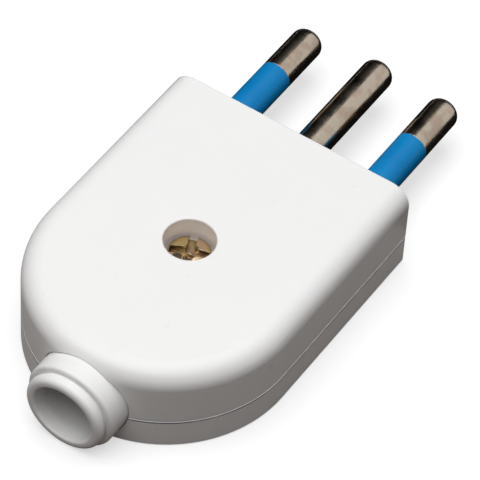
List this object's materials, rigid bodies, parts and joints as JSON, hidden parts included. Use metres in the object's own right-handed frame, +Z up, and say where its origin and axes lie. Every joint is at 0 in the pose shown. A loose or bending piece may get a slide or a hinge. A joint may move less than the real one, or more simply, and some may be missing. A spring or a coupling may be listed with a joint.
{
  "type": "electrical plug",
  "caption": "Rewirable in-line mains plug with round pins in a row, insulated outer pins, two half shells and a round cord collar.",
  "frame": {"origin": "on the earth pin's axis, at the mating face of the housing", "axes": "+Y along the pins, out of the mating face; +X across the row of pins; +Z up, from the base to the screw's side"},
  "size_m": [0.032, 0.0642, 0.0118],
  "materials": {
    "white_plastic": "smooth moulded thermoplastic, semi-gloss",
    "blue_sleeve": "moulded blue insulation, semi-gloss",
    "nickel_plated_brass": "turned and nickel plated, bright",
    "bare_brass": "sawn and drilled brass",
    "yellow_zinc_steel": "yellow passivated zinc on steel",
    "zinc_steel": "bright zinc on steel",
    "clamp_plastic": "moulded polyamide, matt"
  },
  "bodies": {
    "root": {"upper_shell": "white_plastic", "lower_shell": "white_plastic", "cable_collar": "white_plastic", "housing_screw": "yellow_zinc_steel", "housing_nut": "zinc_steel", "line_pin": "nickel_plated_brass", "earth_pin": "nickel_plated_brass", "neutral_pin": "nickel_plated_brass", "line_sleeve": "blue_sleeve", "neutral_sleeve": "blue_sleeve", "line_terminal_block": "bare_brass", "earth_terminal_block": "bare_brass", "neutral_terminal_block": "bare_brass", "line_terminal_screw": "zinc_steel", "earth_terminal_screw": "zinc_steel", "neutral_terminal_screw": "zinc_steel", "cord_clamp_bar": "clamp_plastic", "cord_clamp_screw_left": "zinc_steel", "cord_clamp_screw_right": "zinc_steel"}
  },
  "joints": []
}
